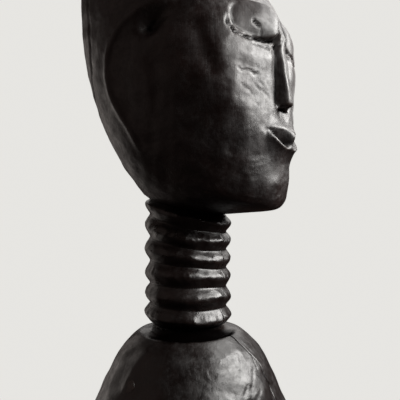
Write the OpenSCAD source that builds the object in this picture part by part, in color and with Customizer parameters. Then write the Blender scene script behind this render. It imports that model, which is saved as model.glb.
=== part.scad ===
// Carved hardwood fertility doll: head, ringed neck and body, joined by round tenons and wooden pegs.
// Millimetres. Z is up, the face looks towards -Y, and the origin is the middle of the flat foot.

/* [Head] */
// Height from the underside of the chin to the crown
head_height = 146; // [122:1:176]
// Width across the widest part of the coiffure
head_width = 94; // [79:1:113]
// Depth from the brow to the back of the coiffure
head_depth = 100; // [84:1:120]
// How far the bridge of the nose stands off the face
nose_height = 4.2; // [2:0.1:6]
// How far each closed eyelid bulges
lid_bulge = 2.6; // [1:0.1:4]
// How far the lips stand forward
lip_relief = 4; // [2:0.1:6]
// Height of the step where the coiffure meets the skin
coiffure_step = 2.2; // [0.5:0.1:4]

/* [Neck] */
// Radius at the crest of each ring
ring_radius = 20.6; // [17:0.1:25]
// Depth of the grooves between the rings
groove_depth = 2.4; // [1:0.1:3.4]
// Distance from one ring to the next, on the axis
ring_pitch = 9.7; // [8.2:0.1:11.6]
// Forward tilt of the seat under the head, degrees
seat_tilt = 14; // [8:0.5:18]

/* [Body] */
// Height of the body, from the foot to the seat of the neck
body_height = 138; // [116:1:166]
// Width across the widest part of the torso
body_width = 108; // [92:1:130]
// Depth of the torso, front to back, at the same height
body_depth = 101; // [86:1:121]
// Radius of the round foot
foot_radius = 47; // [40:0.5:56]
// Height of the round foot
foot_height = 12; // [8:0.5:16]

/* [Joinery] */
// Radius of the tenon in the head
upper_tenon_radius = 10; // [8.4:0.1:12]
// Length of the tenon in the head
upper_tenon_length = 32; // [28:0.5:40]
// Radius of the tenon in the body
lower_tenon_radius = 12; // [10:0.1:14.4]
// Length of the tenon in the body
lower_tenon_length = 36; // [32:0.5:46]
// Radius of both pegs
peg_radius = 2.1; // [1.5:0.1:2.8]
// Radial gap between a tenon or peg and its hole
fit_gap = 0.15; // [0.05:0.05:0.4]

/* [Hidden] */
// Rings on the neck, from the top one to the bottom one, and the forward tilt of each
ring_tilts = [17.5, 12.5, 7.5, 3.5, 2.5, 3];
rings = len(ring_tilts);
groove_radius = ring_radius - groove_depth;
// The lowest ring stands clear of the body's seat, with a cove between them
lowest_ring = body_height + 0.57 * ring_pitch;
seat_height = lowest_ring + (rings - 1) * ring_pitch + 0.28 * ring_pitch;
chin_height = seat_height - 3.6;
socket_end_gap = 1;
// The head and the torso sit a little forward of the neck's axis
lean_forward = 1.2;
// The shoulder peg crosses the lower tenon, and the nape peg enters the upper one
shoulder_peg_height = body_height - 19.5;
nape_peg_height = seat_height + 15;
// The nape peg ends inside the upper tenon, short of its front
nape_peg_start = 2 * peg_radius - upper_tenon_radius;
// How far each pared peg end stands off the wood round it
peg_stand = 0.4;

function clamp01(v) = min(1, max(0, v));
function smooth01(v) = let (t = clamp01(v)) t * t * (3 - 2 * t);
function bump(x, z, x0, z0, wx, wz) = exp(-(pow((x - x0) / wx, 2) + pow((z - z0) / wz, 2)));
// A smooth curve through four rows, a quarter of the way to the next for t = 0.25
function spline(a, b, c, d, t) =
    0.5 * (2 * b + (c - a) * t + (2 * a - 5 * b + 4 * c - d) * t * t + (3 * b - 3 * c + d - a) * t * t * t);
function along(rows, s) = let (
        last = len(rows) - 1,
        i = min(last - 1, floor(s)),
        t = s - i
    ) spline(rows[max(0, i - 1)], rows[i], rows[i + 1], rows[min(last, i + 2)], t);
// Angle round a piece from the middle of the front, closer together at the front
function front_angle(u) = let (v = abs(u)) 180 * sign(u) * (0.36 * v + 0.64 * v * v);

// Faces of a grid of loops, closed by a fan at each end
function grid_faces(loops, count) = concat(
    [[for (j = [0 : count - 1]) j]],
    [for (i = [0 : loops - 2], j = [0 : count - 1]) let (k = (j + 1) % count)
        [i * count + j, (i + 1) * count + j, (i + 1) * count + k]],
    [for (i = [0 : loops - 2], j = [0 : count - 1]) let (k = (j + 1) % count)
        [i * count + j, (i + 1) * count + k, i * count + k]],
    [[for (j = [count - 1 : -1 : 0]) (loops - 1) * count + j]]
);

// Head sections, each a tilted loop: front y, front z, back y, back z, half width.
// The figures are parts of the depth, height, depth, height and width.
head_rows = [
    [-0.300, -0.002, 0.210, 0.070, 0.236],
    [-0.425, 0.003, 0.238, 0.100, 0.278],
    [-0.468, 0.024, 0.274, 0.135, 0.312],
    [-0.480, 0.062, 0.318, 0.175, 0.340],
    [-0.484, 0.110, 0.370, 0.230, 0.372],
    [-0.485, 0.175, 0.422, 0.300, 0.405],
    [-0.478, 0.260, 0.468, 0.385, 0.438],
    [-0.472, 0.350, 0.504, 0.465, 0.464],
    [-0.470, 0.440, 0.524, 0.550, 0.484],
    [-0.455, 0.535, 0.532, 0.640, 0.496],
    [-0.382, 0.640, 0.528, 0.730, 0.500],
    [-0.292, 0.745, 0.500, 0.815, 0.470],
    [-0.185, 0.855, 0.435, 0.895, 0.385],
    [-0.050, 0.945, 0.330, 0.955, 0.255],
    [0.110, 0.990, 0.190, 0.995, 0.085]
];
head_loops = 46;
head_count = 60;

// How far the skin stands forward of the plain sections, at x across and z above the chin
function face_relief(x, z) = let (
        sz = head_height / 146,
        sx = head_width / 94,
        ax = abs(x) / sx,
        h = z / sz,
        nose_width = 3.6 + 2.6 * smooth01((66 - h) / 20),
        nose = smooth01((h - 43) / 4) * smooth01((92 - h) / 16) * exp(-pow(ax / nose_width, 2)),
        lids = bump(ax, h, 18.5, 78, 9.5, 6),
        sockets = bump(ax, h, 18, 77, 14, 11),
        lips = bump(ax, h, 0, 30.5, 9.5, 4.6),
        cheeks = bump(ax, h, 20, 62, 11, 9),
        chin = bump(ax, h, 0, 13, 15, 9)
    ) nose_height * nose + (lid_bulge + 2.4) * lids - 2.4 * sockets + lip_relief * lips
        + 1.6 * cheeks + 0.8 * chin;

// The coiffure stands proud behind a line that runs from the brow round the temple to the nape
function coiffure(angle, z) = let (
        h = z * 146 / head_height,
        edge = 104 - 30 * smooth01((h - 62) / 24) - 90 * smooth01((h - 80) / 36)
            - 10 * smooth01((40 - h) / 34)
    ) smooth01((abs(angle) - edge + 4) / 8) * smooth01((h - 8) / 20);

function head_point(row, angle) = let (
        front_y = row[0] * head_depth,
        back_y = row[2] * head_depth,
        mid = head_depth * (0.04 * clamp01(row[3] * 3) + 0.36 * max(0, row[3] - 0.7)),
        half = row[4] * head_width,
        c = cos(angle),
        y0 = mid - c * (c > 0 ? mid - front_y : back_y - mid),
        part = (y0 - front_y) / (back_y - front_y),
        z0 = head_height * (row[1] + (row[3] - row[1]) * part),
        x0 = half * sin(angle),
        proud = coiffure(angle, z0) * coiffure_step,
        forward = c > 0 ? face_relief(x0, z0) * smooth01(c * 2.2) : 0
    ) [x0 + proud * sin(angle), y0 - proud * c - forward - lean_forward, chin_height + z0];

// The bottom loop of the head is the round seat itself
function seat_point(angle) = let (
        y = -groove_radius * cos(angle)
    ) [groove_radius * sin(angle), y, seat_height + y * tan(seat_tilt)];

module head_block() {
    points = concat(
        [for (j = [0 : head_count - 1]) seat_point(front_angle(2 * j / head_count - 1))],
        [for (i = [0 : head_loops - 2], j = [0 : head_count - 1])
            head_point(along(head_rows, (len(head_rows) - 1) * i / (head_loops - 2)),
                front_angle(2 * j / head_count - 1))]
    );
    polyhedron(points = points, faces = grid_faces(head_loops, head_count), convexity = 6);
}

module head() {
    color([0.10, 0.07, 0.055])
    difference() {
        head_block();
        translate([0, 0, seat_height - 2 * ring_radius])
        cylinder(h = 2 * ring_radius + upper_tenon_length + socket_end_gap,
            r = upper_tenon_radius + fit_gap, $fn = 64);
        translate([0, 0, nape_peg_height])
        rotate([-90, 0, 0])
        cylinder(h = head_depth, r = peg_radius + fit_gap, $fn = 32);
    }
}

// One ring: a rounded crest between two sloping flanks
module ring() {
    flank = 0.41 * ring_pitch;
    rotate_extrude($fn = 96)
    polygon([
        [0, -flank],
        [groove_radius - 0.5 * groove_depth, -flank],
        [groove_radius + 0.15 * groove_depth, -0.8 * flank],
        [ring_radius - 0.25 * groove_depth, -0.3 * flank],
        [ring_radius, -0.1 * flank],
        [ring_radius, 0.1 * flank],
        [ring_radius - 0.25 * groove_depth, 0.3 * flank],
        [groove_radius + 0.15 * groove_depth, 0.8 * flank],
        [groove_radius - 0.5 * groove_depth, flank],
        [0, flank]
    ]);
}

module ringed_neck() {
    color([0.12, 0.085, 0.065])
    difference() {
        union() {
            difference() {
                union() {
                    translate([0, 0, body_height])
                    cylinder(h = seat_height - body_height + ring_radius, r = groove_radius, $fn = 96);
                    for (i = [0 : rings - 1])
                        translate([0, 0, lowest_ring + (rings - 1 - i) * ring_pitch])
                        rotate([ring_tilts[i], 0, 0])
                        ring();
                }
                translate([0, 0, seat_height])
                rotate([seat_tilt, 0, 0])
                translate([-3 * ring_radius, -3 * ring_radius, 0])
                cube([6 * ring_radius, 6 * ring_radius, 4 * ring_radius]);
                translate([-3 * ring_radius, -3 * ring_radius, body_height - 4 * ring_radius])
                cube([6 * ring_radius, 6 * ring_radius, 4 * ring_radius]);
            }
            translate([0, 0, body_height - lower_tenon_length])
            cylinder(h = lower_tenon_length + ring_pitch, r = lower_tenon_radius, $fn = 64);
            translate([0, 0, seat_height - ring_pitch])
            cylinder(h = ring_pitch + upper_tenon_length, r = upper_tenon_radius, $fn = 64);
        }
        translate([-2 * lower_tenon_radius, 0, shoulder_peg_height])
        rotate([0, 90, 0])
        cylinder(h = 4 * lower_tenon_radius, r = peg_radius + fit_gap, $fn = 32);
        translate([0, nape_peg_start - fit_gap, nape_peg_height])
        rotate([-90, 0, 0])
        cylinder(h = 3 * upper_tenon_radius, r = peg_radius + fit_gap, $fn = 32);
    }
}

// Torso sections as parts: height of the body above the foot, half width at the sides, half depth
body_rows = [
    [0.000, 0.400, 0.405],
    [0.055, 0.392, 0.400],
    [0.125, 0.392, 0.398],
    [0.220, 0.415, 0.415],
    [0.315, 0.450, 0.450],
    [0.405, 0.482, 0.488],
    [0.508, 0.499, 0.508],
    [0.603, 0.480, 0.488],
    [0.683, 0.445, 0.454],
    [0.746, 0.413, 0.422],
    [0.808, 0.380, 0.388],
    [0.849, 0.354, 0.362],
    [0.905, 0.320, 0.327],
    [0.944, 0.286, 0.292],
    [0.970, 0.255, 0.261],
    [0.987, 0.228, 0.233],
    [0.996, 0.198, 0.203]
];
body_loops = 44;
body_count = 56;
torso_height = body_height - foot_height;

// Distance in the plane of angle and height from a straight limb, for the arms in low relief
function to_limb(p, a, b) = let (
        d = b - a,
        t = clamp01(((p - a) * d) / (d * d))
    ) norm(p - a - t * d);

function body_relief(x, y, z, angle) = let (
        h = (z - foot_height) / torso_height,
        ax = abs(x) * 108 / body_width,
        zz = h * 128,
        side = abs(angle) * 0.86,
        breasts = y < 0 ? bump(ax, zz, 18, 77, 10.5, 10) : 0,
        chest = y < 0 ? bump(ax, zz, 0, 111, 26, 13) : 0,
        navel = y < 0 ? bump(ax, zz, 0, 40, 4.2, 4.2) : 0,
        upper = to_limb([side, zz], [80, 80], [84, 44]),
        fore = to_limb([side, zz], [84, 44], [34, 38]),
        arms = exp(-pow(min(upper, fore) / 7.5, 2))
    ) 6.5 * breasts + 2 * chest + 3 * navel + 3.2 * arms;

function body_point(row, angle) = let (
        z = foot_height + row[0] * torso_height,
        x0 = row[1] * body_width * sin(angle),
        y0 = -row[2] * body_depth * cos(angle),
        out = body_relief(x0, y0, z, angle),
        n = norm([x0, y0])
    ) [x0 * (1 + out / n), y0 * (1 + out / n) - lean_forward, z];

// The top loop is the round seat of the neck
function collar_point(angle) =
    [(groove_radius + 0.6) * sin(angle), -(groove_radius + 0.6) * cos(angle), body_height];

module torso() {
    points = concat(
        [for (j = [0 : body_count - 1]) let (a = 360 * j / body_count - 180)
            body_point([-0.03, body_rows[0][1], body_rows[0][2]], a)],
        [for (i = [0 : body_loops - 3], j = [0 : body_count - 1]) let (a = 360 * j / body_count - 180)
            body_point(along(body_rows, (len(body_rows) - 1) * i / (body_loops - 3)), a)],
        [for (j = [0 : body_count - 1]) collar_point(360 * j / body_count - 180)]
    );
    polyhedron(points = points, faces = grid_faces(body_loops, body_count), convexity = 6);
}

module foot() {
    bevel = 0.12 * foot_height;
    rotate_extrude($fn = 96)
    polygon([
        [0, 0],
        [foot_radius - bevel, 0],
        [foot_radius, bevel],
        [foot_radius, foot_height - 2 * bevel],
        [foot_radius - 2 * bevel, foot_height],
        [0, foot_height]
    ]);
}

module body() {
    color([0.11, 0.075, 0.06])
    difference() {
        union() {
            torso();
            foot();
        }
        translate([0, 0, body_height - lower_tenon_length - socket_end_gap])
        cylinder(h = lower_tenon_length + 10, r = lower_tenon_radius + fit_gap, $fn = 64);
        translate([-body_width, 0, shoulder_peg_height])
        rotate([0, 90, 0])
        cylinder(h = 2 * body_width, r = peg_radius + fit_gap, $fn = 32);
    }
}

// Where the shoulder's side and the nape stand at a height, and how steeply each leans there
function shoulder_x(z) = body_width * lookup((z - foot_height) / torso_height,
    [for (r = body_rows) [r[0], r[1]]]);
function nape_y(z) = head_depth * lookup((z - chin_height) / head_height,
    [for (r = head_rows) [r[3], r[2]]])
    + coiffure_step * smooth01(((z - chin_height) * 146 / head_height - 8) / 20) - lean_forward;
shoulder_slope = atan((shoulder_x(shoulder_peg_height - 3) - shoulder_x(shoulder_peg_height + 3)) / 6);
nape_slope = atan((nape_y(nape_peg_height + 3) - nape_y(nape_peg_height - 3)) / 6);
shoulder_peg_reach = shoulder_x(shoulder_peg_height) + peg_stand;
nape_peg_reach = nape_y(nape_peg_height) + peg_stand;

// A half space that pares a peg's end to the slope of the surface
module paring(slope) {
    rotate([0, slope, 0])
    translate([0, -10 * peg_radius, -10 * peg_radius])
    cube([20 * peg_radius, 20 * peg_radius, 20 * peg_radius]);
}

module shoulder_peg() {
    color([0.17, 0.12, 0.09])
    difference() {
        translate([-shoulder_peg_reach - 6, 0, shoulder_peg_height])
        rotate([0, 90, 0])
        cylinder(h = 2 * shoulder_peg_reach + 12, r = peg_radius, $fn = 32);
        for (s = [0, 1])
            mirror([s, 0, 0])
            translate([shoulder_peg_reach, 0, shoulder_peg_height])
            paring(-shoulder_slope);
    }
}

module nape_peg() {
    color([0.17, 0.12, 0.09])
    difference() {
        translate([0, nape_peg_start, nape_peg_height])
        rotate([-90, 0, 0])
        cylinder(h = nape_peg_reach - nape_peg_start + 6, r = peg_radius, $fn = 32);
        translate([0, nape_peg_reach, nape_peg_height])
        rotate([0, 0, 90])
        paring(nape_slope);
    }
}

// The piece to draw, or all of them

head();
ringed_neck();
body();
shoulder_peg();
nape_peg();
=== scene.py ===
"""A carved fertility doll: dark waxed hardwood head, ringed neck and body, joined by wooden pegs.

Lengths inside the shape functions are millimetres in the part's own frame, with Z up and the face
towards -Y. Each mesh is put into metres when it is made.
"""

import math

import bpy
import numpy as np
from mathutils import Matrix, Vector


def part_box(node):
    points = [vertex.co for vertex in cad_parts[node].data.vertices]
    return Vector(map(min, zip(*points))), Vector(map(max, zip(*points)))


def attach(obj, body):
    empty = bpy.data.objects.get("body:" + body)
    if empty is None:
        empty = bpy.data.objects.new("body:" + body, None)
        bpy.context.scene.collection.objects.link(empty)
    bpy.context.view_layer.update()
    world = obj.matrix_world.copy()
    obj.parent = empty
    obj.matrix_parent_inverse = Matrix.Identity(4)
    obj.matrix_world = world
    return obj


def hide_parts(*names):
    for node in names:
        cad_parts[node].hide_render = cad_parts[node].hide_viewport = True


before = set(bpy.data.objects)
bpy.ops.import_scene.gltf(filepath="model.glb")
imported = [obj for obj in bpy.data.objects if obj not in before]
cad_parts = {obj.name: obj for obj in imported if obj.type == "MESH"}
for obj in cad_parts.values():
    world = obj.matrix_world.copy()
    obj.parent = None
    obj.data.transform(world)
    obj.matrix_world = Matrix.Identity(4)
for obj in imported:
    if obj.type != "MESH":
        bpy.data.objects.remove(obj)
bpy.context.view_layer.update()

MM = 0.001

# Sizes in millimetres, as the part has them
BODY_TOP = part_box("body")[1].z / MM
BODY_WIDE, BODY_DEEP = 108.0, 101.0
FOOT_RADIUS, FOOT_TALL = 47.0, 12.0
GROOVE_RADIUS, RING_RADIUS, RING_PITCH = 18.2, 20.6, 9.7
LOWEST_RING = BODY_TOP + 0.57 * RING_PITCH
# The head's seat on the top ring, which tilts down towards the face
SEAT_HEIGHT = LOWEST_RING + 5.28 * RING_PITCH
SEAT_TILT = math.radians(14.0)
HEAD_TALL, HEAD_WIDE, HEAD_DEEP = 146.0, 94.0, 100.0
CHIN = SEAT_HEIGHT - 3.6
# How far the head and the torso stand forward of the neck's line
LEAN = 1.2
# Blind sockets and the tenons in them: radius, then depth or length
UPPER_SOCKET, UPPER_TENON = (10.15, 33.0), (10.0, 32.0)
LOWER_SOCKET, LOWER_TENON = (12.15, 37.0), (12.0, 36.0)
TENON_BEVEL = 0.8
# How far the shoulder peg lies below the body's top
PEG_DROP = 19.5
# The cove in the shoulder in front of the neck, carved and also given painted shade: its middle, and the way
# that it faces
COVE_MIDDLE = (-3.15, -2.45)
COVE_WAY = (-0.64, -0.77)
# Faces that would touch are kept this far apart
APART = 0.02


# ---------------------------------------------------------------- shape helpers


def smooth(low, high, value):
    """0 below low, 1 above high, and 3t^2 - 2t^3 between them, with t the share of the way."""
    t = np.clip((value - low) / (high - low), 0.0, 1.0)
    return t * t * (3.0 - 2.0 * t)


def hill(distance, width):
    """A bell of height 1: exp(-(distance / width)^2)."""
    return np.exp(-((distance / width) ** 2))


def spot(x, z, x0, z0, wide, tall):
    """A bell over two directions, with its own width in each."""
    return np.exp(-(((x - x0) / wide) ** 2) - ((z - z0) / tall) ** 2)


def through(stops, value):
    """A smooth curve through (place, height) stops, held past its ends. Each span is a cubic: 2t^3 -
    3t^2 + 1 of the height before it, 3t^2 - 2t^3 of the height after it, and terms that give every stop
    the slope of its neighbours."""
    places, heights = np.array(stops, float).T
    slopes = np.gradient(heights, places)
    value = np.clip(value, places[0], places[-1])
    i = np.clip(np.searchsorted(places, value, side="right") - 1, 0, len(places) - 2)
    span = places[i + 1] - places[i]
    t = (value - places[i]) / span
    return (
        (2 * t**3 - 3 * t**2 + 1) * heights[i]
        + (t**3 - 2 * t**2 + t) * span * slopes[i]
        + (3 * t**2 - 2 * t**3) * heights[i + 1]
        + (t**3 - t**2) * span * slopes[i + 1]
    )


def along_rows(rows, steps):
    """Rows of figures joined by a Catmull-Rom curve, sampled at steps (0 to one less than the rows)."""
    rows = np.asarray(rows, float)
    last = len(rows) - 1
    i = np.clip(np.floor(steps).astype(int), 0, last - 1)
    t = (steps - i)[:, None]
    a, b, c, d = rows[np.clip(i - 1, 0, last)], rows[i], rows[i + 1], rows[np.clip(i + 2, 0, last)]
    return 0.5 * (
        2 * b + (c - a) * t + (2 * a - 5 * b + 4 * c - d) * t * t + (3 * b - 3 * c + d - a) * t**3
    )


def ripples(x, y, z, size, seed, count=9):
    """Soft unevenness, mostly within -1 to 1: the sum of count sine waves with seeded directions, starts
    and lengths of about size, over sqrt(count / 2) and a further 1.6."""
    random = np.random.default_rng(seed)
    ways = random.normal(size=(count, 3))
    ways /= np.linalg.norm(ways, axis=1)[:, None]
    lengths = size * random.uniform(0.7, 1.5, count)
    starts = random.uniform(0, 2 * math.pi, count)
    total = np.zeros(np.broadcast(x, y, z).shape)
    for way, length, start in zip(ways, lengths, starts):
        total += np.sin(2 * math.pi * (way[0] * x + way[1] * y + way[2] * z) / length + start)
    return total / math.sqrt(count / 2) / 1.6


def facets(x, y, z, size, seed):
    """Knife facets: ripples folded into shallow scoops that meet in soft ridges, 1 - |wave|."""
    return 1.0 - np.abs(ripples(x, y, z, size, seed))


def segment_distance(x, z, a, b):
    """Distance in a plane from the points (x, z) to the straight line from a to b."""
    ax, az = a
    dx, dz = b[0] - ax, b[1] - az
    t = np.clip(((x - ax) * dx + (z - az) * dz) / (dx * dx + dz * dz), 0, 1)
    return np.hypot(x - ax - t * dx, z - az - t * dz)


def segment_hill(x, z, a, b, width):
    """A rounded ridge of height 1 along the straight line from a to b."""
    return hill(segment_distance(x, z, a, b), width)


def line_distance(x, z, points):
    """Distance in a plane from the points (x, z) to a bent line through points."""
    return np.min([segment_distance(x, z, a, b) for a, b in zip(points[:-1], points[1:])], axis=0)


def turned(u, front):
    """Angle from the middle of the front for u from -1 to 1: pi (front |u| + (1 - front) u^2) with the
    sign of u, so that columns stand closer at the front."""
    v = np.abs(u)
    return math.pi * np.sign(u) * (front * v + (1 - front) * v * v)


def closed_grid(name, loops, low_point, high_point):
    """A smooth mesh of quads between loops (rows, columns, 3), each loop closed on itself, with a fan of
    triangles to a point at each end. The loops run from low_point's end to high_point's."""
    rows, columns, _ = loops.shape
    vertices = np.concatenate([loops.reshape(-1, 3), [low_point], [high_point]]) * MM
    i, j = np.meshgrid(np.arange(rows - 1), np.arange(columns), indexing="ij")
    k = (j + 1) % columns
    quads = np.stack(
        [i * columns + j, i * columns + k, (i + 1) * columns + k, (i + 1) * columns + j], -1
    ).reshape(-1, 4)
    ring = np.arange(columns)
    after = (ring + 1) % columns
    low = np.stack([after, ring, np.full(columns, rows * columns)], -1)
    top = (rows - 1) * columns
    high = np.stack([top + ring, top + after, np.full(columns, rows * columns + 1)], -1)
    corners = np.concatenate([quads.ravel(), low.ravel(), high.ravel()])
    totals = np.concatenate([np.full(len(quads), 4), np.full(len(low) + len(high), 3)])
    starts = np.concatenate([[0], np.cumsum(totals)[:-1]])
    mesh = bpy.data.meshes.new(name)
    mesh.vertices.add(len(vertices))
    mesh.vertices.foreach_set("co", vertices.astype(np.float32).ravel())
    mesh.loops.add(len(corners))
    mesh.loops.foreach_set("vertex_index", corners.astype(np.int32))
    mesh.polygons.add(len(totals))
    mesh.polygons.foreach_set("loop_start", starts.astype(np.int32))
    mesh.update(calc_edges=True)
    mesh.validate()
    mesh.polygons.foreach_set("use_smooth", np.ones(len(totals), bool))
    piece = bpy.data.objects.new(name, mesh)
    bpy.context.scene.collection.objects.link(piece)
    return piece


# ---------------------------------------------------------------- head

# Tilted loops up the head: front y, front z, back y, back z, half width, as parts of depth, height and width
HEAD_ROWS = [
    [-0.300, -0.002, 0.210, 0.070, 0.236],
    [-0.425, 0.003, 0.238, 0.100, 0.278],
    [-0.468, 0.024, 0.274, 0.135, 0.312],
    [-0.480, 0.062, 0.318, 0.175, 0.340],
    [-0.484, 0.110, 0.370, 0.230, 0.372],
    [-0.485, 0.175, 0.422, 0.300, 0.405],
    [-0.478, 0.260, 0.468, 0.385, 0.438],
    [-0.472, 0.350, 0.504, 0.465, 0.464],
    [-0.470, 0.440, 0.524, 0.550, 0.484],
    [-0.455, 0.535, 0.532, 0.640, 0.496],
    [-0.382, 0.640, 0.528, 0.730, 0.500],
    [-0.292, 0.745, 0.500, 0.815, 0.470],
    [-0.185, 0.855, 0.435, 0.895, 0.385],
    [-0.050, 0.945, 0.330, 0.955, 0.255],
    [0.110, 0.990, 0.190, 0.995, 0.085],
]

# The edge of the coiffure on each side: y at heights above the chin
HAIR_EDGE = [
    (0, -4), (8.5, -2.8), (17, -1.5), (30, 0.5), (37.5, 4.4), (46.4, 9.1), (55, 11), (63.5, 8.6), (69, 4.2),
    (73.4, -1.5), (76, -7), (78, -14), (80, -20), (84, -27), (90, -34), (98, -42), (106, -60), (146, -90),
]


# The ridge of the nose: height above the chin, and how far it stands out there
NOSE_RIDGE = [
    (42, 4.5), (45, 4.7), (48, 4.3), (53, 3.85), (57, 3.1), (61.4, 2.5), (70, 2.2), (76.4, 1.5), (82, 0.7),
    (88, 0),
]


def nose_relief(ax, h):
    """The long thin nose: a narrow ridge that grows down to the tip, with steep sides that meet the
    cheeks in a crease. Under the tip the skin is let in."""
    tall = through(NOSE_RIDGE, h)
    let_in = 0.4
    under = smooth(41.4, 43.0, h + 0.20 * ax)
    wide = 4.4 + 0.7 * smooth(50.0, 44.0, h)
    side = 1.0 - smooth(0.28 * wide, wide, ax)
    nostril = spot(ax, h, 2.6, 42.2, 1.4, 0.8)
    crease = -hill(ax - wide + 0.2, 1.2) * smooth(84, 74, h) * smooth(41, 44, h)
    return ((tall + let_in) * under - let_in) * side - nostril + crease


def eye_relief(x, h):
    """A closed eye: a low smooth lid within an uneven cut line, a thin lower lid, and a second cut under
    it. The lid's outline is where q is 1: q is (|across|^2.4 + |up|^2.4)^(1/2.4), in half widths and
    half heights. The lid on the figure's right is the fuller one, and tilts back towards the temple and
    the lower edge."""
    ax = np.abs(x)
    wander = 0.022 * np.sin(1.9 * ax + 0.7 * h) + 0.014 * np.sin(4.3 * ax - 1.1 * h)
    level = 74.3 - 1.2 * smooth(18, 27, ax)
    q = (np.abs((ax - 15.5) / 12.2) ** 2.4 + np.abs((h - level) / 8.3) ** 2.4) ** (1 / 2.4)
    below = smooth(73.5, 70.0, h)
    socket = -0.9 * hill(q, 1.35)
    lid = (1.9 - 0.7 * smooth(-2, 2, x)) * np.clip(1 - q * q, 0, 1) ** 0.62
    lid = lid - (0.26 * (ax - 17) - 0.08 * (h - 73)) * smooth(1.02, 0.80, q) * smooth(2, -2, x)
    upper_cut = -0.95 * hill(q - 1.01, 0.032) * (1 - below) * smooth(27, 22, ax + 0.3 * h - 22)
    lower_cut = -(1.35 + 0.35 * np.sin(1.3 * ax)) * hill(q - 1.04 - wander, 0.052) * below
    lower_lid = 0.50 * hill(q - 1.15 - 0.5 * wander, 0.055) * below * smooth(20, 15, ax)
    second_cut = -0.60 * hill(q - 1.265 - 0.5 * wander, 0.035) * below * smooth(21, 17, ax)
    torn = -0.28 * hill(q - 1.14 - 2.0 * wander, 0.030) * below * smooth(16, 21, ax) * smooth(30, 26, ax)
    corner = -1.3 * spot(ax, h, 4.6, 72.3, 1.4, 4.2)
    fold = 0.45 * segment_hill(ax, h, (8.8, 64.4), (10.6, 62.2), 0.5)
    return socket + lid + upper_cut + lower_cut + lower_lid + second_cut + torn + corner + fold


def mouth_relief(ax, h):
    """Small pursed lips: the skin flares out to a crisp upper edge, the upper lip turns under it down to
    the parting, and the lower lip is a thin ledge with the chin let in below."""
    upper_reach = 4.75 * np.clip(1 - (np.sqrt(ax * ax + 0.8) / 12.7) ** 1.15, 0, 1)
    lower_reach = 4.45 * np.clip(1 - (ax / 12.2) ** 2.6, 0, 1)
    top = 32.2 + 0.7 * smooth(0, 3, ax) - 0.7 * smooth(9.5, 12.7, ax)
    parting = 26.5 + 1.2 * smooth(3.5, 6.5, ax) + 3.9 * smooth(5, 12.5, ax)
    ledge = 24.6 + 0.6 * smooth(2.5, 6, ax) + 5.2 * smooth(5, 13.5, ax)
    above = upper_reach * np.exp(-np.maximum(0, h - top) / 2.6)
    share = np.clip((top - h) / np.maximum(0.5, top - parting), 0, 1)
    under = 3.7 * smooth(0.0, 4.0, ax) * smooth(13, 9.5, ax)
    bulge = 1.2 * smooth(5, 1, ax) * np.sin(math.pi * share**0.8)
    seam = np.maximum(0, upper_reach - under)
    within = upper_reach + bulge - (upper_reach - seam) * share**1.2
    rise = np.clip((parting - h) / np.maximum(0.35, parting - ledge), 0, 1)
    lower = seam + (lower_reach - seam) * rise**0.75
    fall = np.maximum(0, ledge - h)
    below = lower_reach * (0.35 * np.exp(-fall / 1.2) + 0.65 * np.exp(-((fall / 5.0) ** 1.4)))
    return np.where(h > top, above, np.where(h > parting, within, np.where(h > ledge, lower, below)))


# Small slips of the knife on the figure's right cheek: a wavy cut below the eye, and short strokes under it,
# each given as the across and height of both ends and then the depth
CHEEK_WAVE = [(-24.4, 53.6), (-22.6, 52.4), (-20.8, 53.2), (-19.0, 52.8), (-17.4, 51.8), (-16.0, 52.8)]
CHEEK_STROKES = [
    (-22.8, 47.4, -20.6, 46.0, 0.24), (-19.6, 45.6, -17.8, 44.2, 0.26), (-16.8, 47.8, -15.0, 46.4, 0.28),
    (-15.6, 49.6, -13.8, 48.4, 0.22), (-13.8, 46.2, -12.2, 44.8, 0.28), (-11.6, 45.0, -10.2, 43.2, 0.26),
    (-11.8, 49.6, -10.6, 48.0, 0.20), (-9.8, 41.0, -7.6, 38.5, 0.22), (-19.8, 60.6, -17.4, 59.2, 0.16),
    (-13.4, 61.6, -11.6, 60.8, 0.16), (-24.8, 58.6, -22.6, 57.6, 0.14), (-17.6, 41.6, -16.0, 40.4, 0.16),
]
STROKE_WIDE = 0.34


def face_forward(x, h):
    """How far the skin stands forward of the plain loops: planed cheeks, fuller on the figure's right,
    then the cheekbones, chin, temples, knife slips and features, all added up."""
    ax = np.abs(x)
    right_cheek = smooth(-8, -20, x) * smooth(34, 50, h)
    outer = 17 + 10 * smooth(26, 54, h) + 5 * right_cheek
    flat = 1.9 * smooth(2, 11, ax) + 1.9 * smooth(16, 29, ax) + 0.9 * right_cheek * smooth(22, 35, ax)
    flat = flat * smooth(outer + 13, outer - 1, ax) * smooth(16, 36, h) * smooth(88, 72, h)
    cheekbone = 0.9 * spot(ax, h, 15, 60, 9, 6)
    chin = 0.5 * spot(ax, h, 0, 13.5, 12, 7)
    under_lip = -0.3 * spot(ax, h, 0, 20.0, 10, 2.8)
    temple = -1.2 * spot(ax, h, 31, 86, 7, 9)
    wave = line_distance(x, h, CHEEK_WAVE)
    nicks = -0.30 * hill(wave, STROKE_WIDE) + 0.12 * hill(wave - 0.8, 0.4)
    for x0, h0, x1, h1, deep in CHEEK_STROKES:
        nicks = nicks - deep * segment_hill(x, h, (x0, h0), (x1, h1), STROKE_WIDE)
    pit = -1.0 * segment_hill(x, h, (-18.3, 72.2), (-16.3, 70.7), 0.42)
    check = -0.35 * segment_hill(x, h, (-15.6, 69.4), (-15.0, 66.6), 0.22)
    return (
        flat + cheekbone + chin + under_lip + temple + nicks + pit + check
        + nose_relief(ax, h) + eye_relief(x, h) + mouth_relief(ax, h)
    )


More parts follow.
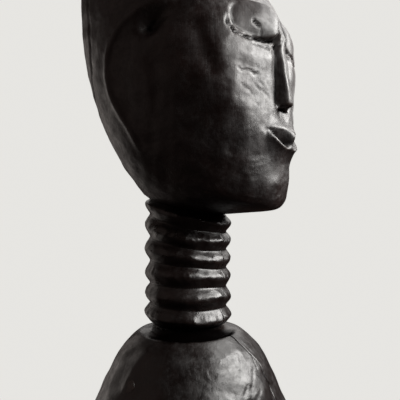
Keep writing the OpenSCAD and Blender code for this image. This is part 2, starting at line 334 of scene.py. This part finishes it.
# The edge of the raised band down the back: degrees from the front at heights above the chin
BAND_EDGE = [
    (0, 158), (20, 150), (36, 141), (51, 130), (62, 119), (73, 113.5), (88, 112), (104, 114), (120, 118),
    (134, 122), (146, 122),
]
HEAD_MM_PER_DEGREE = 0.75


def coiffure_out(y, angle, h):
    """How far the surface stands out at the side and back: the coiffure's C-shaped edge with the skin
    let in ahead of it, a deep hollow in front of the ear's place with soft folds under it, and a raised
    band down the back. Distance ahead of the edge is (edge - y) / sqrt(1 + slope^2)."""
    heights, places = np.array(HAIR_EDGE, float).T
    slope = np.interp(h, heights, np.gradient(places, heights))
    ahead = (through(HAIR_EDGE, h) - y) / np.sqrt(1 + slope**2)
    fade = smooth(2, 16, h) * smooth(112, 92, h)
    skin = smooth(-2.5, 9.0, ahead)
    let_in = -1.3 * skin * np.exp(-np.maximum(0, ahead) / 20) * fade
    lip = 0.95 * hill(ahead + 0.8, 1.5) * fade * smooth(20, 34, h) * smooth(84, 70, h)
    hollow = -3.4 * segment_hill(y, h, (-12.0, 72.0), (-24.0, 87.0), 4.4) * skin
    folds = -0.5 * hill(y + 12.5 - 0.05 * (h - 52), 2.6) * hill(h - 51, 12) * skin
    folds = folds - 0.9 * segment_hill(y, h, (-27.5, 69.0), (-30.5, 52.0), 2.4)
    off = (np.degrees(np.abs(angle)) - through(BAND_EDGE, h)) * HEAD_MM_PER_DEGREE
    band = 0.25 * smooth(-0.6, 1.2, off) - 0.55 * hill(off + 0.2, 0.75)
    return let_in + lip + hollow + folds + band * smooth(14, 40, h) * smooth(143, 128, h)


def head_loops(rows=270, columns=336):
    """Loops up the head. Each is an ellipse with its own front and back depth, tilted so that its height
    runs evenly from the front's to the back's, then moved out and forward by the relief. The first loops
    close the round socket and the seat."""
    r = along_rows(HEAD_ROWS, (len(HEAD_ROWS) - 1) * np.linspace(0, 1, rows) ** 0.96)
    front_y, front_z, back_y, back_z, half = (r[:, k][:, None] for k in range(5))
    angle = turned(np.linspace(-1, 1, columns, endpoint=False), 0.55)[None, :]
    c, s = np.cos(angle), np.sin(angle)
    middle = HEAD_DEEP * (0.04 * np.clip(back_z * 3, 0, 1) + 0.36 * np.maximum(0, back_z - 0.7))
    before = middle - c * (middle - front_y * HEAD_DEEP)
    behind = middle - c * (back_y * HEAD_DEEP - middle)
    y = np.where(c > 0, before, behind)
    h = HEAD_TALL * (front_z + (back_z - front_z) * (y / HEAD_DEEP - front_y) / (back_y - front_y))
    x = half * HEAD_WIDE * s
    out = coiffure_out(y, angle, h) * smooth(0.30, 0.62, np.abs(s) + (c < 0)) * smooth(0, 7, h)
    out += 0.22 * (facets(x, y, h, 17.0, 4) - 0.5) + 0.14 * ripples(x, y, h, 9.0, 5)
    out += 0.07 * facets(x, y, h, 4.2, 6)
    forward = np.where(c > 0, face_forward(x, h) * smooth(0.0, 0.45, c), 0.0)
    skin = np.stack([x + out * s, y - out * c - forward - LEAN, CHIN + h], -1)

    bore, depth = UPPER_SOCKET
    deep = SEAT_HEIGHT + depth

    def seat_ring(radius, lift=0.0):
        ring_y = -radius * c[0]
        return np.stack([radius * s[0], ring_y, SEAT_HEIGHT + ring_y * math.tan(SEAT_TILT) + lift], -1)

    def socket_ring(height):
        return np.stack([bore * s[0], -bore * c[0], np.full(columns, height)], -1)

    start = [
        socket_ring(deep), socket_ring(deep - 0.6), seat_ring(bore, 0.5), seat_ring(bore), seat_ring(14.0),
        seat_ring(GROOVE_RADIUS - 0.4), seat_ring(GROOVE_RADIUS + 0.1, 0.3),
    ]
    crown = (0, 0.155 * HEAD_DEEP - LEAN, CHIN + 0.9965 * HEAD_TALL)
    return np.concatenate([np.array(start), skin]), (0, 0, deep), crown


# ---------------------------------------------------------------- neck

# Degrees that each ring tilts down towards the face, from the lowest up
RING_TILTS = [3.0, 2.5, 3.5, 7.5, 12.5, 17.5]


def neck_loops(columns=360, per_ring=28):
    """Loops up the neck: the lower tenon, the rings and the upper tenon. A ring's crest lies on a plane
    tilted by its own angle, the grooves lie midway between, and the radius goes from groove to crest as
    a raised cosine, ((1 - cos) / 2)^0.72. The lowest ring's underside takes the power 2 and a cove cut
    in 1.7. Knife facets flatten the crests, and a thin drying check crosses them at the front."""
    angle = turned(np.linspace(-1, 1, columns, endpoint=False), 0.35)
    s, c = np.sin(angle), np.cos(angle)
    y = -RING_RADIUS * c
    rings = len(RING_TILTS)
    crests = [
        LOWEST_RING + i * RING_PITCH + y * math.tan(tilt) + 0.45 * np.sin(2 * angle + 1.7 * i)
        + 0.25 * np.sin(5 * angle + 2.3 * i)
        for i, tilt in enumerate(np.radians(RING_TILTS))
    ]
    seat = SEAT_HEIGHT + y * math.tan(SEAT_TILT)
    between = [(a + b) / 2 for a, b in zip(crests[:-1], crests[1:])]
    grooves = [np.full(columns, BODY_TOP)] + between + [seat]
    loops = []
    for i in range(rings):
        for k in range(per_ring):
            t = k / per_ring
            low, crest, high = grooves[i], crests[i], grooves[i + 1]
            e = 2 * t if t < 0.5 else 2 * t - 1
            z = low + (crest - low) * e if t < 0.5 else crest + (high - crest) * e
            flats = facets(s * 20, c * 20, np.full(columns, 40.0 * i), 15.0, 40 + i)
            tall = RING_RADIUS + 0.15 - 0.45 * (1 - flats) + 0.18 * np.sin(angle * 2 + 2.1 * i)
            wave = (0.5 - 0.5 * math.cos(2 * math.pi * t)) ** (2.0 if i == 0 and t < 0.5 else 0.72)
            cove = 1.7 * smooth(0.24, 0.08, t) if i == 0 else 0.0
            radius = GROOVE_RADIUS + (tall - GROOVE_RADIUS) * wave - cove
            bulge = math.sin(math.pi * t)
            radius = radius + 0.22 * (facets(radius * s, -radius * c, z, 6.0, 11 + i) - 0.5) * bulge
            check = np.degrees(angle) - 2.2 - 1.5 * np.sin(0.21 * z)
            fine = np.exp(-((check / 0.55) ** 2)) * (0.35 + 0.65 * (math.sin(1.9 * i + 0.6) > 0))
            radius = radius - 0.55 * fine * bulge
            loops.append(np.stack([radius * s, -radius * c, z], -1))
    loops.append(np.stack([GROOVE_RADIUS * s, -GROOVE_RADIUS * c, seat - APART], -1))

    def ring(radius, height):
        return np.stack([radius * s, -radius * c, np.full(columns, height)], -1)

    def seat_ring(radius):
        return np.stack([radius * s, -radius * c, SEAT_HEIGHT - APART - radius * c * math.tan(SEAT_TILT)], -1)

    lower, down = LOWER_TENON
    upper, up = UPPER_TENON
    foot, top = BODY_TOP - down, SEAT_HEIGHT + up
    below = [ring(lower - TENON_BEVEL, foot), ring(lower, foot + TENON_BEVEL)]
    below += [ring(radius, BODY_TOP + APART) for radius in (lower, 15, 16.5)]
    above = [seat_ring(14), seat_ring(upper), ring(upper, top - TENON_BEVEL), ring(upper - TENON_BEVEL, top)]
    return np.array(below + loops + above), (0, 0, foot), (0, 0, top)


# ---------------------------------------------------------------- body

# Loops up the torso: part of its height above the foot, half width and half depth as parts of the body's
BODY_ROWS = [
    [0.000, 0.400, 0.405], [0.055, 0.392, 0.400], [0.125, 0.392, 0.398], [0.220, 0.415, 0.415],
    [0.315, 0.450, 0.450], [0.405, 0.482, 0.488], [0.508, 0.499, 0.508], [0.603, 0.480, 0.488],
    [0.683, 0.445, 0.454], [0.746, 0.413, 0.422], [0.808, 0.380, 0.388], [0.849, 0.354, 0.362],
    [0.905, 0.320, 0.327], [0.944, 0.286, 0.292], [0.970, 0.255, 0.261], [0.987, 0.228, 0.233],
    [0.996, 0.198, 0.203],
]
TORSO_TALL = BODY_TOP - FOOT_TALL
# The relief's own heights run from 0 to this up the torso
RELIEF_TALL = 128
TORSO_MM_PER_DEGREE = 0.86
# The foot's edge from the bottom up: how far it is cut in, and the height
FOOT_EDGE = [
    (1.3, 0.15), (0.5, 0.8), (0.2, 2.0), (0.1, 5.0), (0.2, 8.4), (0.7, 10.0), (1.8, 11.3), (3.4, 11.9),
]

# The drying check from the neck down the front and its fork, as across and height
CHECK = [(-1.5, 137.5), (-0.6, 133), (1.6, 128.5), (3.4, 124.5), (4.2, 120), (6.3, 115.5), (7.2, 108)]
FORK = [(1.6, 128.5), (0.2, 126.0), (0.4, 123.5)]
# Gouge strokes beside the check: across and height of both ends, depth and width
GOUGES = [
    (-13, 109, -6, 114, 0.20, 0.8), (-15, 106, -7, 111, 0.18, 0.7), (-11, 104, -4, 109, 0.20, 0.9),
    (-10, 123, -5, 130, 0.16, 0.9), (-7, 118, -2, 124, 0.16, 0.8), (-15, 119, -11, 126, 0.14, 1.0),
    (-7, 112, -3, 116, 0.14, 0.6), (-19, 111, -16, 117, 0.14, 0.8), (-12, 116, -9, 119, 0.12, 0.7),
]


def body_out(x, y, angle, t):
    """How far the surface stands out of the plain loops: small breasts, a navel, and arms in low relief
    that bend at the elbow and end in flat hands beside the navel. The arms are a flat-topped ridge along
    a bent line."""
    ax = np.abs(x)
    z = t * RELIEF_TALL
    front = smooth(0, -12, y)
    breasts = 6.5 * spot(ax, z, 18, 77, 10.5, 10) * front
    tips = 1.2 * spot(ax, z, 19, 76, 2.6, 2.6) * front
    chest = 2.0 * spot(ax, z, 0, 111, 26, 13) * front
    navel = (3.0 * spot(ax, z, 0, 40, 4.2, 4.2) - 1.2 * spot(ax, z, 0, 40, 1.3, 1.3)) * front
    side = np.degrees(np.abs(angle)) * TORSO_MM_PER_DEGREE
    limb = line_distance(side, z, [(80, 80), (84, 44), (34, 38)])
    arms = 3.2 * smooth(9.5, 4.0, limb) * (0.3 + 0.7 * smooth(92, 64, z))
    arms -= 0.7 * hill(limb - 9.3, 1.1) * smooth(82, 66, z)
    fingers = sum(
        -0.8 * hill(z - 38 - k * 2.6 + 0.08 * (side - 34), 0.5) * smooth(43, 40, side) * smooth(26, 29, side)
        for k in (-1.5, -0.5, 0.5, 1.5)
    )
    return breasts + tips + chest + navel + arms + fingers * smooth(9, 6, limb)


def knife_work(x, z, y):
    """The check and its fork, and the gouge strokes beside them, each a rounded groove along a line."""
    front = smooth(0, -8, y)
    out = -0.75 * hill(line_distance(x, z, CHECK), 0.30) * smooth(107, 113, z)
    out = out - 0.35 * hill(line_distance(x, z, FORK), 0.25)
    for x0, z0, x1, z1, deep, wide in GOUGES:
        out = out - deep * segment_hill(x, z, (x0, z0), (x1, z1), wide)
    return out * front


def body_loops(rows=222, columns=410):
    """Loops up the body: a bevelled round foot, the torso as ellipses moved out by the relief, and the
    round seat and socket of the neck."""
    r = along_rows(BODY_ROWS, (len(BODY_ROWS) - 1) * np.linspace(0, 1, rows))
    angle = turned(np.linspace(-1, 1, columns, endpoint=False), 0.30)[None, :]
    s, c = np.sin(angle), np.cos(angle)
    t = r[:, 0][:, None] + 0 * angle
    x = r[:, 1][:, None] * BODY_WIDE * s
    y = -r[:, 2][:, None] * BODY_DEEP * c
    z = FOOT_TALL + t * TORSO_TALL
    out = body_out(x, y, angle, t)
    out += 0.34 * (facets(x, y, z, 19.0, 21) - 0.5) * smooth(0.99, 0.93, t)
    out += 0.15 * ripples(x, y, z, 8.0, 22)
    out += 0.10 * (facets(x, y, z, 5.0, 23) - 0.5) * smooth(-10, -30, y)
    out += knife_work(x, z, y)
    # The wood stands up in a flat disc round each end of the shoulder peg
    from_peg = np.hypot(y - LEAN, z - (BODY_TOP - PEG_DROP))
    out += 0.33 * np.exp(-((from_peg / 4.6) ** 6)) * (np.abs(s) > 0.5)
    grow = 1 + out / np.hypot(x, y)
    x, y = x * grow, y * grow - LEAN
    # A cove sinks the shoulder in front of the neck, widest between the breast and the right shoulder
    ahead = smooth(7, 18, COVE_WAY[0] * x + COVE_WAY[1] * y) * smooth(BODY_TOP - 4, BODY_TOP - 2, z)
    z = z - 1.3 * smooth(23.2, 20.0, np.hypot(x - COVE_MIDDLE[0], y - COVE_MIDDLE[1])) * ahead
    torso = np.stack([x, y, z], -1)

    def ring(radius, height):
        return np.stack([radius * s[0], -radius * c[0], np.full(columns, float(height))], -1)

    def foot_ring(radius, height):
        uneven = 0.15 * ripples(radius * s[0], radius * c[0], np.full(columns, float(height)), 25.0, 31)
        return ring(radius + uneven, height)

    bore, depth = LOWER_SOCKET
    bottom = BODY_TOP - depth
    foot = [ring(FOOT_RADIUS - 2.0, 0)]
    foot += [foot_ring(FOOT_RADIUS - cut_in, height) for cut_in, height in FOOT_EDGE]
    top = [ring(GROOVE_RADIUS + 0.9, BODY_TOP - 0.6), ring(GROOVE_RADIUS - 0.2, BODY_TOP)]
    top += [ring(bore, height) for height in (BODY_TOP, BODY_TOP - 0.6, bottom + 0.6, bottom)]
    return np.concatenate([np.array(foot), torso, np.array(top)]), (0, 0, 0), (0, 0, bottom)


# ---------------------------------------------------------------- shader expressions


class Wire:
    """A socket, or a number, in a node tree. Operators on values add Math nodes."""

    def __init__(self, tree, socket):
        self.tree, self.socket = tree, socket

    def node(self, kind, settings=None, out=0, **values):
        """Adds a node of a kind with its settings, then links or sets its inputs, by name with _ for a
        space or by number as i0, i1 and so on. Gives the output numbered out."""
        n = self.tree.nodes.new(kind)
        for key, value in (settings or {}).items():
            if key == "stops":
                ramp = n.color_ramp.elements
                while len(ramp) < len(value):
                    ramp.new(0.5)
                for element, (place, tone) in zip(ramp, value):
                    element.position = place
                    element.color = tone if len(tone) == 4 else (*tone, 1)
            else:
                setattr(n, key, value)
        for key, value in values.items():
            name = int(key[1:]) if key[0] == "i" and key[1:].isdigit() else key.replace("_", " ")
            if isinstance(value, Wire):
                self.tree.links.new(value.socket, n.inputs[name])
            else:
                n.inputs[name].default_value = value
        return Wire(self.tree, n.outputs[out])

    def math(self, operation, a, b=None, clamp=False):
        values = {"i0": a} if b is None else {"i0": a, "i1": b}
        return self.node("ShaderNodeMath", {"operation": operation, "use_clamp": clamp}, **values)

    def __add__(self, other):
        return self.math("ADD", self, other)

    def __sub__(self, other):
        return self.math("SUBTRACT", self, other)

    def __rsub__(self, other):
        return self.math("SUBTRACT", other, self)

    def __mul__(self, other):
        return self.math("MULTIPLY", self, other)

    def __pow__(self, other):
        return self.math("POWER", self, other)

    __radd__ = __add__
    __rmul__ = __mul__

    def between(self, low, high):
        """0 at low and 1 at high, smoothed and held outside them."""
        return self.node(
            "ShaderNodeMapRange", {"interpolation_type": "SMOOTHSTEP"},
            Value=self, From_Min=low, From_Max=high, To_Min=0.0, To_Max=1.0,
        )

    def tint(self, low, high):
        """A colour between low and high by this value."""
        return self.node(
            "ShaderNodeMix", {"data_type": "RGBA"}, out=2, Factor=self, i6=(*low, 1), i7=(*high, 1)
        )

    def over(self, under, colour):
        """colour laid over the colour under, as much as this value says."""
        extra = {"i7": colour if isinstance(colour, Wire) else (*colour, 1)}
        return self.node("ShaderNodeMix", {"data_type": "RGBA"}, out=2, Factor=self, i6=under, **extra)


def new_material(name):
    """A new material with its output and Principled shader. Gives it, the shader and a Wire to start
    from."""
    material = bpy.data.materials.new(name)
    material.use_nodes = True
    tree = material.node_tree
    tree.nodes.clear()
    output = tree.nodes.new("ShaderNodeOutputMaterial")
    shader = tree.nodes.new("ShaderNodeBsdfPrincipled")
    tree.links.new(shader.outputs[0], output.inputs[0])
    return material, shader, Wire(tree, None)


# Near black: painted shade laid over the hollows and the cove under the neck, where shadow falls
PAINTED_SHADE_TONE = (0.0005, 0.0003, 0.0003, 1)


def waxed_wood(name, gloss, deep, warm, rubbed):
    """Hardwood under dark stain and rubbed wax: long grain along Z, fine pores, brown showing through
    where hands and edges rub, fine strokes, and wax that varies in gloss. The base colour is painted
    darker in the hollows, and a dull, almost black sheet of painted shade covers the hollows and the
    cove, where shadow falls: its share is 1 - (1 - 0.9 hollow)(1 - 0.97 cove)."""
    material, shader, w = new_material(name)
    place = w.node("ShaderNodeTexCoord", out=3)

    def noise(scale, detail, rough=0.5, stretch=(1, 1, 1), distortion=0.0):
        moved = w.node("ShaderNodeMapping", {}, Vector=place, Scale=stretch)
        return w.node("ShaderNodeTexNoise", {}, Vector=moved, Scale=scale, Detail=detail, Roughness=rough,
                      Distortion=distortion)

    cloud = noise(38.0, 3.0)
    grain = noise(260.0, 5.0, 0.62, (1, 1, 0.10), 0.6)
    pores = noise(1500.0, 3.0, 0.6, (1, 1, 0.06))
    blotch = noise(150.0, 4.0, 0.62)
    mottle = noise(620.0, 3.0, 0.6)
    strokes = noise(380.0, 2.0, 0.5, (0.6, 0.6, 0.25))
    pointed = w.node("ShaderNodeNewGeometry", out=7)
    edge, hollow = pointed.between(0.505, 0.56), pointed.between(0.490, 0.450)
    brown = cloud.between(0.42, 0.68) * 0.6 + grain.between(0.45, 0.75) * 0.4
    colour = brown.tint(deep, warm)
    colour = (pores.between(0.56, 0.70) * 0.5).over(colour, tuple(0.35 * v for v in deep))
    colour = (edge * blotch.between(0.35, 0.62) * 0.45).over(colour, rubbed)
    # Painted shade: the base colour darkens in the hollows, where shadow falls
    colour = (hollow * 0.8).over(colour, tuple(0.3 * v for v in deep))
    x, y, z = (w.node("ShaderNodeSeparateXYZ", out=i, Vector=place) for i in range(3))
    # Where the painted shade lies in the cove: in front of the neck, just below the lowest ring, standing in
    # for the shadow under it
    ahead = (x * COVE_WAY[0] + y * COVE_WAY[1]).between(0.0085, 0.0165)
    x, y = x - COVE_MIDDLE[0] * MM, y - COVE_MIDDLE[1] * MM
    reach = (x * x + y * y) ** 0.5 + 0.005 * (blotch - 0.5)
    above = z.between((BODY_TOP - 5.5) * MM, (BODY_TOP - 3.5) * MM)
    under = z.between((BODY_TOP + 3.5) * MM, (BODY_TOP + 1.5) * MM)
    cove = reach.between(0.0236, 0.0208) * above * under * ahead
    w.tree.links.new(colour.socket, shader.inputs["Base Color"])
    rough = gloss + 0.17 * blotch.between(0.35, 0.70) + 0.12 * mottle.between(0.35, 0.70)
    w.tree.links.new(rough.socket, shader.inputs["Roughness"])
    height = 0.10 * grain - 0.06 * pores.between(0.50, 0.64) + 0.7 * blotch + 0.30 * mottle + 0.15 * strokes
    bump = w.node("ShaderNodeBump", {}, Height=height, Strength=0.45, Distance=0.0005)
    w.tree.links.new(bump.socket, shader.inputs["Normal"])
    shader.inputs["Specular IOR Level"].default_value = 0.5
    shader.inputs["Coat Weight"].default_value = 0.15
    shader.inputs["Coat Roughness"].default_value = 0.30
    # A dull near-black sheet mixed over the wood as painted shade, in the hollows and in the cove
    painted_shade = w.node("ShaderNodeBsdfPrincipled", Base_Color=PAINTED_SHADE_TONE, Roughness=0.85, Specular_IOR_Level=0.0)
    share = 1 - (1 - hollow * 0.9) * (1 - cove * 0.97)
    with_painted_shade = w.node("ShaderNodeMixShader", Fac=share, i1=Wire(w.tree, shader.outputs[0]), i2=painted_shade)
    w.tree.links.new(with_painted_shade.socket, w.tree.nodes["Material Output"].inputs["Surface"])
    return material


# ---------------------------------------------------------------- pieces

# Tones of the stain: deep, warm and rubbed
stain = (0.0036, 0.0014, 0.0012), (0.0108, 0.0045, 0.0037), (0.036, 0.023, 0.017)
# The same stain made darker for the neck and body: painted shade for the shade that falls on them under the
# head
stain_darkened_as_shade = (0.0024, 0.0012, 0.0010), (0.0075, 0.0040, 0.0034), (0.030, 0.020, 0.016)
peg_stain = (0.0052, 0.0024, 0.0020), (0.0140, 0.0070, 0.0056), (0.045, 0.030, 0.023)
peg_wood = waxed_wood("peg_wood", 0.33, *peg_stain)


def carve(name, node, gloss, tones, loops, low, high):
    """Makes one carved piece from its loops and end points, in place of the CAD node that it finishes."""
    piece = closed_grid(name, loops, low, high)
    piece.data.materials.append(waxed_wood(node + "_wood", gloss, *tones))
    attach(piece, "root")
    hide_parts(node)
    return piece


carve("carved_head", "head", 0.35, stain, *head_loops())
carve("carved_neck", "ringed_neck", 0.25, stain_darkened_as_shade, *neck_loops())
carve("carved_body", "body", 0.29, stain_darkened_as_shade, *body_loops())

for node in ("shoulder_peg", "nape_peg"):
    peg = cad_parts[node]
    peg.data.materials.clear()
    peg.data.materials.append(peg_wood)


# ---------------------------------------------------------------- stage

PALE = (0.797, 0.787, 0.760)


def floor_disc(radius=0.9, rings=24, columns=96):
    """A flat round floor: rings of points from the middle out, a hair under the foot."""
    angle = np.linspace(0, 2 * math.pi, columns, endpoint=False)
    radii = radius * np.linspace(0.02, 1, rings)
    xs = (radii[:, None] * np.cos(angle)).ravel()
    ys = (radii[:, None] * np.sin(angle)).ravel()
    vertices = np.stack([xs, ys, np.full(xs.shape, -0.0003)], -1)
    i, j = np.meshgrid(np.arange(rings - 1), np.arange(columns), indexing="ij")
    k = (j + 1) % columns
    quads = np.stack([i * columns + j, (i + 1) * columns + j, (i + 1) * columns + k, i * columns + k], -1)
    mesh = bpy.data.meshes.new("floor")
    mesh.from_pydata(vertices.tolist(), [], quads.reshape(-1, 4).tolist() + [list(range(columns))])
    piece = bpy.data.objects.new("floor", mesh)
    bpy.context.scene.collection.objects.link(piece)
    return piece


floor = floor_disc()
# The floor fades out away from the figure, and only the camera sees it
pale, pale_shader, w = new_material("pale_floor")
pale_shader.inputs["Base Color"].default_value = (*PALE, 1)
pale_shader.inputs["Roughness"].default_value = 0.9
pale_shader.inputs["Specular IOR Level"].default_value = 0.1
place = w.node("ShaderNodeTexCoord", out=3)
spread = w.node("ShaderNodeVectorMath", {"operation": "LENGTH"}, out=1, i0=place)
clear = w.node("ShaderNodeBsdfTransparent")
unseen = 1.0 - w.node("ShaderNodeLightPath", out=0) * (1.0 - spread.between(0.10, 0.27))
fading = w.node("ShaderNodeMixShader", {}, Fac=unseen, i1=Wire(w.tree, pale_shader.outputs[0]), i2=clear)
w.tree.links.new(fading.socket, w.tree.nodes["Material Output"].inputs[0])
floor.data.materials.append(pale)

# The studio is pale behind the figure, and gives it only a dim warm light
world = bpy.data.worlds.new("studio")
bpy.context.scene.world = world
world.use_nodes = True
world.node_tree.nodes.clear()
v = Wire(world.node_tree, None)
seen = v.node("ShaderNodeBackground", {}, Color=(*PALE, 1), Strength=1.0)
dim = v.node("ShaderNodeBackground", {}, Color=(1.0, 0.64, 0.56, 1), Strength=0.028)
which = v.node("ShaderNodeLightPath", out=0)
sky = v.node("ShaderNodeMixShader", {}, Fac=which, i1=dim, i2=seen)
end = world.node_tree.nodes.new("ShaderNodeOutputWorld")
world.node_tree.links.new(sky.socket, end.inputs[0])


def soft_light(name, place, aim, size, power, tone):
    """A rectangular softbox of a size, in metres, at a place, facing aim."""
    data = bpy.data.lights.new(name, "AREA")
    data.shape = "RECTANGLE"
    data.size, data.size_y = size
    data.energy = power
    data.color = tone
    lamp = bpy.data.objects.new(name, data)
    bpy.context.scene.collection.objects.link(lamp)
    way = np.array(aim, float) - np.array(place, float)
    lamp.location = place
    tip = math.atan2(math.hypot(way[0], way[1]), -way[2])
    lamp.rotation_euler = (tip, 0, math.atan2(way[1], way[0]) - math.pi / 2)
    lamp.visible_camera = False


EYE_LEVEL, CAMERA_AWAY = 0.181, 0.216
VIEW = math.radians(52)
TOWARDS = np.array([-math.sin(VIEW), -math.cos(VIEW), 0.0])
RIGHT = np.array([math.cos(VIEW), -math.sin(VIEW), 0.0])
CENTRE = np.array([0, 0, 0.20])


def from_side(turn, rise, away):
    """A place away metres from CENTRE, turn degrees to the right of the camera and rise degrees up."""
    turn, rise = math.radians(turn), math.radians(rise)
    level = TOWARDS * math.cos(turn) + RIGHT * math.sin(turn)
    return CENTRE + away * (level * math.cos(rise) + np.array([0, 0, math.sin(rise)]))


# Name, turn, rise, metres away, size, watts and tone
LIGHTS = [
    ("key", 74, 27, 0.75, (0.78, 0.40), 16.5, (1.0, 0.985, 0.96)),
    ("high", 108, 50, 0.75, (0.36, 0.36), 2.2, (1.0, 0.985, 0.96)),
    ("back", 152, 32, 0.75, (0.45, 0.45), 0.8, (1.0, 0.98, 0.96)),
    ("rim", -128, -4, 0.75, (0.5, 0.8), 0.75, (1.0, 0.92, 0.86)),
    ("behind", 176, 34, 0.9, (0.9, 0.9), 2.2, (1.0, 0.97, 0.94)),
    ("fill", -70, 14, 0.75, (0.7, 0.9), 0.28, (1.0, 0.78, 0.71)),
]
for name, turn, rise, away, size, power, tone in LIGHTS:
    soft_light(name, from_side(turn, rise, away), CENTRE, size, power, tone)

camera_data = bpy.data.cameras.new("camera")
camera_data.sensor_width = 36.0
camera_data.lens = 40.5
camera_data.shift_x = 0.030
camera_data.shift_y = 0.0875
camera_data.clip_start = 0.01
camera = bpy.data.objects.new("camera", camera_data)
bpy.context.scene.collection.objects.link(camera)
camera.location = TOWARDS * CAMERA_AWAY + [0, 0, EYE_LEVEL]
camera.rotation_euler = (math.pi / 2, 0, -VIEW)
bpy.context.scene.camera = camera
bpy.context.scene.view_settings.view_transform = "Standard"
